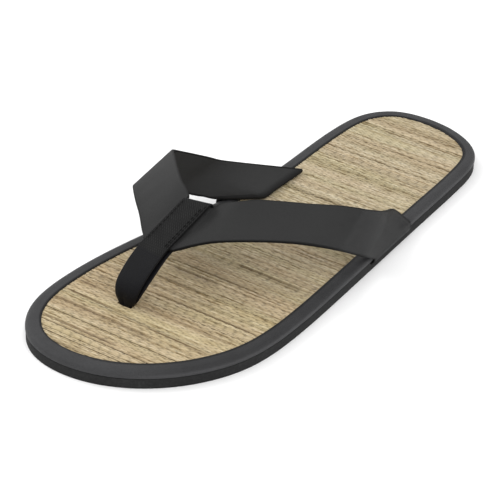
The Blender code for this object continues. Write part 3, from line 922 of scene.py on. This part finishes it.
def thickened(name, grid, walls, rounding, material, zone):
    # closed band: outer face, rounded edge, inner face, rounded edge; zone is a mask by row
    normal = sheetNormals(grid)
    half = np.reshape(walls, (-1, 1)) / 2.0
    span = np.linalg.norm(np.diff(grid, axis=1), axis=2).mean(axis=1)[:, None]
    firstIn = (grid[:, 1] - grid[:, 0]) / span * rounding
    lastIn = (grid[:, -2] - grid[:, -1]) / span * rounding
    rim = half - rounding
    outer, inner = (grid + normal * half[:, :, None] * s for s in (1.0, -1.0))
    for face in (outer, inner):
        face[:, 0] += firstIn
        face[:, -1] += lastIn
    lastRim = [grid[:, -1] + normal[:, -1] * rim * s for s in (1.0, 0.0, -1.0)]
    firstRim = [grid[:, 0] + normal[:, 0] * rim * s for s in (-1.0, 0.0, 1.0)]
    ring = np.concatenate([outer, np.stack(lastRim, 1), inner[:, ::-1], np.stack(firstRim, 1)], axis=1)
    count = grid.shape[1]
    across = np.linalg.norm(np.roll(ring, -1, 1) - ring, axis=2).max(axis=0)
    across = np.concatenate([[0.0], np.cumsum(across)])
    uv = np.stack(np.meshgrid(across, runLength(grid[:, count // 2])), 2)
    none = np.zeros(count)
    rims = np.ones(3)
    edges = np.isin(np.arange(count), (0, count - 1)).astype(float)
    masks = {"rim": (none, rims, none, rims), "face": (none + 1.0, rims / 2.0, none, rims / 2.0),
             "border": (edges, rims, edges, rims)}
    masks = {key: np.tile(np.concatenate(parts), (len(grid), 1)) for key, parts in masks.items()}
    masks["zone"] = np.tile(np.reshape(zone, (-1, 1)), (1, ring.shape[1]))
    return loft(name, ring * mm, material, uv=uv, masks=masks), outer


def makeStrapMaterial():
    material, place = newMaterial("strapLeather")
    face = mask("face")
    grain = use(leatherGrain, {"Vector": ownMap(), "Size": 0.55})
    drift = drifting(place, 0.02, 0.92, 1.08)
    outer = ramp(times(grain["Creases"], drift), ((0.0, 0.019), (0.7, 0.0235), (1.0, 0.026)))
    lining = ramp(times(grain["Height"], drift), ((0.2, 0.022), (1.0, 0.031)))
    # painted light: the inner arm is lighter towards its crest
    spot = parted(place)
    inward = spread(spot["X"], -0.030, -0.020, 1.0, 0.0)
    crest = spread(spot["Z"], 0.030, 0.043, 1.0, 1.45)
    paintedLight = blend(inward, 1.0, crest)
    sides = blendColour(face, lining, scaled(outer, paintedLight))
    # a dark line along the border, faint on the outer face but for its outer foot: the dark edge with
    # painted shade beside it; and painted shade in the inner fold
    atFoot = spread(spot["X"], 0.030, 0.040, 0.4, 0.9)
    border = times(spread(mask("border"), 0.48, 0.62), blend(face, 0.95, atFoot))
    line = calc("MAXIMUM", border, spread(mask("zone"), 0.4, 1.0, 0.0, 0.8))
    edgedAndShaded = darken(line, sides, 0.006)
    rimmed = darken(spread(mask("rim"), 0.0, 0.3), edgedAndShaded, 0.003)
    roughness = spread(face, 0.0, 1.0, 0.75, 0.55)
    return coated(material, rimmed, roughness, bump(grain["Height"], 0.00004), 0.13)


def creased(grid, vRow):
    # soft troughs and ridges; along runs from the V toward the outer foot, across from the front edge
    run = runLength(grid[:, grid.shape[1] // 2])
    along = (run[vRow] - run)[:, None]
    apart = np.linalg.norm(np.diff(grid, axis=1), axis=2).mean(axis=0)
    across = np.concatenate([[0.0], np.cumsum(apart)])
    lift = np.zeros(grid.shape[:2])
    for place, side, turn, length, width, height in strapCreases:
        angle = math.radians(turn)
        away = along - place
        over = across[None, :] - side
        lengthwise = away * math.cos(angle) + over * math.sin(angle)
        crosswise = over * math.cos(angle) - away * math.sin(angle)
        lift += height * np.exp(-(lengthwise / length) ** 2 - (crosswise / width) ** 2)
    return grid + sheetNormals(grid) * lift[:, :, None]


def makeStrap():
    outerRows, outerWalls, _ = strapArm(1.0, outerSections, outerFoot, strap["outerWrap"])
    innerRows, innerWalls, fold = strapArm(-1.0, innerSections, innerFoot, strap["innerWrap"])
    middle = np.array([[vFront + (vRear - vFront) * s for s in np.linspace(0.0, 1.0, strap["columns"])]])
    rows = np.concatenate([outerRows[::-1], middle, innerRows])
    walls = np.concatenate([outerWalls[::-1], [strap["wall"]], innerWalls])
    fold = np.concatenate([np.zeros(len(outerRows) + 1), fold])
    rows = refined(rows, 1, False)
    between = np.linspace(0.0, len(walls) - 1.0, len(rows))
    walls, fold = (np.interp(between, np.arange(len(values)), values) for values in (walls, fold))
    rows = creased(rows, 2 * len(outerRows))
    rows = refined(rows.transpose(1, 0, 2), 1, False).transpose(1, 0, 2)
    band, _ = thickened("strapBand", rows, walls, strap["edgeRound"], makeStrapMaterial(), fold)
    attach(band, "root")
    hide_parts("strap")
    print("strap: %d faces" % len(band.data.polygons))


makeStrap()


# middle line of the webbing below the V: x y z width
frontLayer = (
    (-15.4, -100.5, 3.95, 9.0), (-15.4, -92.4, 3.95, 9.0), (-15.4, -91.1, 4.6, 9.0),
    (-15.4, -90.8, 6.6, 9.0), (-15.3, -91.1, 9.5, 9.4), (-15.0, -91.5, 13.0, 10.6),
    (-14.7, -89.9, 17.8, 12.2), (-14.3, -85.0, 22.6, 13.4), (-13.9, -77.7, 27.4, 13.8),
)
rearLayer = (
    (-13.7, -74.9, 24.8, 13.8), (-14.1, -81.2, 20.4, 13.2), (-14.6, -86.0, 16.2, 12.0),
    (-15.0, -88.4, 12.0, 10.4), (-15.3, -88.5, 9.0, 9.4), (-15.4, -88.2, 6.6, 9.0),
    (-15.4, -87.9, 4.6, 9.0), (-15.4, -86.6, 3.95, 9.0), (-15.4, -78.7, 3.95, 9.0),
)
webbing = {
    "wall": 1.2, "offset": 1.75, "patchWidth": 13.6,
    "notchSkew": 9.0,          # degrees the patch's rear end is out of square
    "columns": 17, "pathSteps": 4, "edgeRound": 0.4,
    "weave": 0.62,
    "patchFrom": 9, "patchTo": 12,      # knots of the path that lie on the V
    "stitchLines": (-5.3, 4.7, 5.7),    # across the patch, from its middle
    "stitchStart": 0.6, "stitchPitch": 2.5, "stitchLength": 1.8,
    "threadRadius": 0.2, "threadSink": 0.05, "stitchSag": 0.25,
    "postFrom": 5.0, "postWidth": 9.4,
    "curl": 1.0, "curlFrom": 26.0, "curlRun": 12.0,    # edges of the post turn back
    "gather": 0.30, "gatherFrom": 12.8, "gatherRun": 4.4,    # the post narrows into its slot
    "spreadWide": 0.08, "spreadAt": 16.0, "spreadRun": 5.0,  # and is widest above it
    "grooveAcross": -0.8, "grooveWidth": 1.1, "grooveDepth": 0.6,
    "grooveHeights": (7.5, 15.5), "grooveFades": (1.5, 4.0),
}


def makeWebbingMaterial():
    material, place = newMaterial("webbing")
    patch = mask("zone")
    weave = use(tapeWeave, {"Vector": ownMap(), "Pitch": webbing["weave"]})["Height"]
    drift = drifting(place, 0.006, 0.8, 1.2)
    height = times(weave, drift)
    # the post is smoother satin webbing, and its darker colour than the patch is painted shade
    satinInShade = ramp(height, (
        (0.0, (0.002, 0.002, 0.003)), (0.5, (0.004, 0.004, 0.005)), (1.0, (0.007, 0.007, 0.008))))
    tape = ramp(height, ((0.0, 0.004), (0.5, 0.015), (1.0, 0.034)))
    cloth = blendColour(patch, satinInShade, tape)
    raised = times(weave, spread(patch, 0.0, 1.0, 0.3, 1.0))
    rimmed = darken(spread(mask("rim"), 0.3, 0.9), cloth, 0.004)
    roughness = spread(patch, 0.0, 1.0, 0.5, 0.75)
    return coated(material, rimmed, roughness, bump(raised, 0.0002), 0.11)


def loopPath():
    length = float(np.linalg.norm(vRear - vFront))
    along = (vRear - vFront) / length
    across = np.array((1.0, 0.0, 0.0)) - along * along[0]
    across /= np.linalg.norm(across)
    over = np.cross(across, along)
    skew = math.tan(math.radians(webbing["notchSkew"]))
    gap = webbing["offset"]

    def jointRow(distance, height):
        share = min(max(distance / length, 0.0), 1.0)
        return np.append(vFront + along * distance + over * height, (webbing["patchWidth"], skew * share))

    knots = [np.append(row, 0.0) for row in frontLayer]
    knots += [jointRow(length * share, gap) for share in (0.0, 0.33, 0.67, 1.0)]
    for degrees in (45.0, 90.0, 135.0):
        turn = math.radians(degrees)
        knots.append(jointRow(length + gap * math.sin(turn), gap * math.cos(turn)))
    knots += [jointRow(length * share, -gap) for share in (1.0, 0.67, 0.33, 0.0)]
    knots += [np.append(row, 0.0) for row in rearLayer]
    return smoothPath(knots, [webbing["pathSteps"]] * (len(knots) - 1)), along


def makeStitchTree():
    tree, given = geometryTree("stitches", ("Thread Radius", "Sag"))
    curve = add("GeometryNodeMeshToCurve", {"Mesh": given["Geometry"]})
    fine = add("GeometryNodeResampleCurve", {"Curve": curve, "Count": 6})
    share = add("GeometryNodeSplineParameter").outputs["Factor"]
    ends = calc("POWER", calc("ABSOLUTE", calc("MULTIPLY_ADD", share, 2.0, -1.0)), 2.5)
    drop = combined("XYZ", 0.0, 0.0, times(times(ends, given["Sag"]), -1.0))
    bowed = add("GeometryNodeSetPosition", {"Geometry": fine, "Offset": drop})
    sized = add("GeometryNodeSetCurveRadius", {
        "Curve": bowed, "Radius": spread(ends, 0.0, 1.0, 1.0, 0.6)})
    circle = add("GeometryNodeCurvePrimitiveCircle", {
        "Resolution": 6, "Radius": given["Thread Radius"]})
    sweep(sized, circle, given["Material"])
    return tree


def makeThreadMaterial():
    material, place = newMaterial("stitchThread")
    ply = noise(place, 4500.0)
    colour = ramp(ply, ((0.3, 0.002), (0.7, 0.006)))
    return coated(material, colour, 0.6, bump(ply, 0.0001), 0.08)


def makeStitches(top):
    # top: rows of the patch's upper face, front to rear, in millimetres
    columns = top.shape[1]
    lines = []
    for across in webbing["stitchLines"]:
        at = (across / webbing["patchWidth"] + 0.5) * (columns - 1)
        low = int(at)
        track = top[:, low] + (top[:, low + 1] - top[:, low]) * (at - low)
        run = runLength(track)
        start = webbing["stitchStart"]
        while start + webbing["stitchLength"] < run[-1]:
            stop = start + webbing["stitchLength"]
            ends = [tuple(np.interp(s, run, track[:, k]) * mm for k in range(3)) for s in (start, stop)]
            lines.append(ends)
            start += webbing["stitchPitch"]
    guide = guideLines("stitchGuide", lines, np.zeros(len(lines)))
    stitches = grow("patchStitches", guide, makeStitchTree(), {
        "Thread Radius": webbing["threadRadius"] * mm, "Sag": webbing["stitchSag"] * mm,
        "Material": makeThreadMaterial()})
    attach(stitches, "root")


def postWidth(height, width):
    tucked = min(max((webbing["gatherFrom"] - height) / webbing["gatherRun"], 0.0), 1.0) ** 2
    splayed = math.exp(-((height - webbing["spreadAt"]) / webbing["spreadRun"]) ** 2)
    return width * (1.0 - webbing["gather"] * tucked + webbing["spreadWide"] * splayed)


def makeToeLoop():
    path, along = loopPath()
    rows = []
    shares = np.linspace(-0.5, 0.5, webbing["columns"])
    for i, spot in enumerate(path):
        ahead = path[min(i + 1, len(path) - 1)][:3] - path[max(i - 1, 0)][:3]
        ahead /= np.linalg.norm(ahead)
        wide = np.array((1.0, 0.0, 0.0)) - ahead * ahead[0]
        wide = wide / np.linalg.norm(wide) + along * spot[4]
        rows.append([spot[:3] + wide * postWidth(spot[2], spot[3]) * share for share in shares])
    grid = np.array(rows)
    steps = webbing["pathSteps"]
    first, last = webbing["patchFrom"] * steps, webbing["patchTo"] * steps
    # the post: edges curl back and a groove opens at its foot
    low, high = webbing["grooveHeights"]
    height = grid[:, :, 2]
    onPost = (np.arange(len(grid))[:, None] < first) & (height > webbing["postFrom"])
    across = shares * webbing["postWidth"]
    curled = onPost * np.clip((webbing["curlFrom"] - height) / webbing["curlRun"], 0.0, 1.0)
    curled = curled * (2.0 * np.abs(shares)) ** 3 * webbing["curl"]
    nearGroove = np.exp(-((across - webbing["grooveAcross"]) / webbing["grooveWidth"]) ** 2)
    fadeLow, fadeHigh = webbing["grooveFades"]
    window = np.clip((height - low + fadeLow) / fadeLow, 0.0, 1.0)
    window = window * np.clip((high - height) / fadeHigh, 0.0, 1.0)
    grid[:, :, 1] += curled + onPost * window * nearGroove * webbing["grooveDepth"]
    zone = np.zeros(len(grid))
    zone[first - 2:last + 2] = 1.0
    walls = np.full(len(grid), webbing["wall"])
    loop, outer = thickened("toeWebbing", grid, walls, webbing["edgeRound"], makeWebbingMaterial(), zone)
    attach(loop, "root")
    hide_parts("toe_loop")
    makeStitches(outer[first:last + 1] + up * (webbing["threadRadius"] - webbing["threadSink"]))
    print("toe loop: %d faces" % len(loop.data.polygons))


makeToeLoop()


studio = {
    "floorSize": 6.0,
    "world": 0.94,
    "key": {"place": (-1.35, -0.2, 1.2), "size": 1.2, "power": 13.0},
    "side": {"place": (1.0, -0.7, 1.3), "size": 1.8, "power": 14.0},
    "camera": (0.5026, -0.7728, 0.5696),
    "aim": (-0.0036, -0.0115, 0.0022),
    "roll": 2.33,              # degrees
    "lens": 168.2,
}


def makeStudio():
    half = studio["floorSize"] / 2.0
    corners = [(-half, -half, 0.0), (half, -half, 0.0), (half, half, 0.0), (-half, half, 0.0)]
    floor = newPiece("floor", corners, [], [(0, 1, 2, 3)])
    material, place = newMaterial("paleFloor")
    drift = drifting(place, 0.5, 0.985, 1.0)
    grey = combined("Color", drift, drift, drift)
    pale = blendColour(1.0, grey, (0.97, 0.97, 0.97, 1.0), "MULTIPLY")
    floor.data.materials.append(coated(material, pale, 0.9, None))
    world = bpy.data.worlds.new("studio")
    world.use_nodes = True
    fill(world.node_tree.nodes["Background"], {"Color": (1.0, 1.0, 1.0, 1.0), "Strength": studio["world"]})
    bpy.context.scene.world = world
    for name in ("key", "side"):
        facts = studio[name]
        lamp = bpy.data.lights.new(name, "AREA")
        lamp.shape = "DISK"
        lamp.size = facts["size"]
        lamp.energy = facts["power"]
        light = link(bpy.data.objects.new(name, lamp))
        light.location = facts["place"]
        light.rotation_euler = (-Vector(facts["place"])).to_track_quat("-Z", "Y").to_euler()


def makeCamera():
    data = bpy.data.cameras.new("camera")
    data.lens = studio["lens"]
    data.sensor_width = 36.0
    data.clip_start = 0.01
    camera = link(bpy.data.objects.new("camera", data))
    place = Vector(studio["camera"])
    look = (Vector(studio["aim"]) - place).to_track_quat("-Z", "Y").to_matrix()
    turn = Matrix.Rotation(math.radians(studio["roll"]), 3, "Z")
    camera.matrix_world = Matrix.Translation(place) @ (look @ turn).to_4x4()
    bpy.context.scene.camera = camera


makeStudio()
makeCamera()
bpy.context.scene.view_settings.view_transform = "Standard"
print("studio ready")
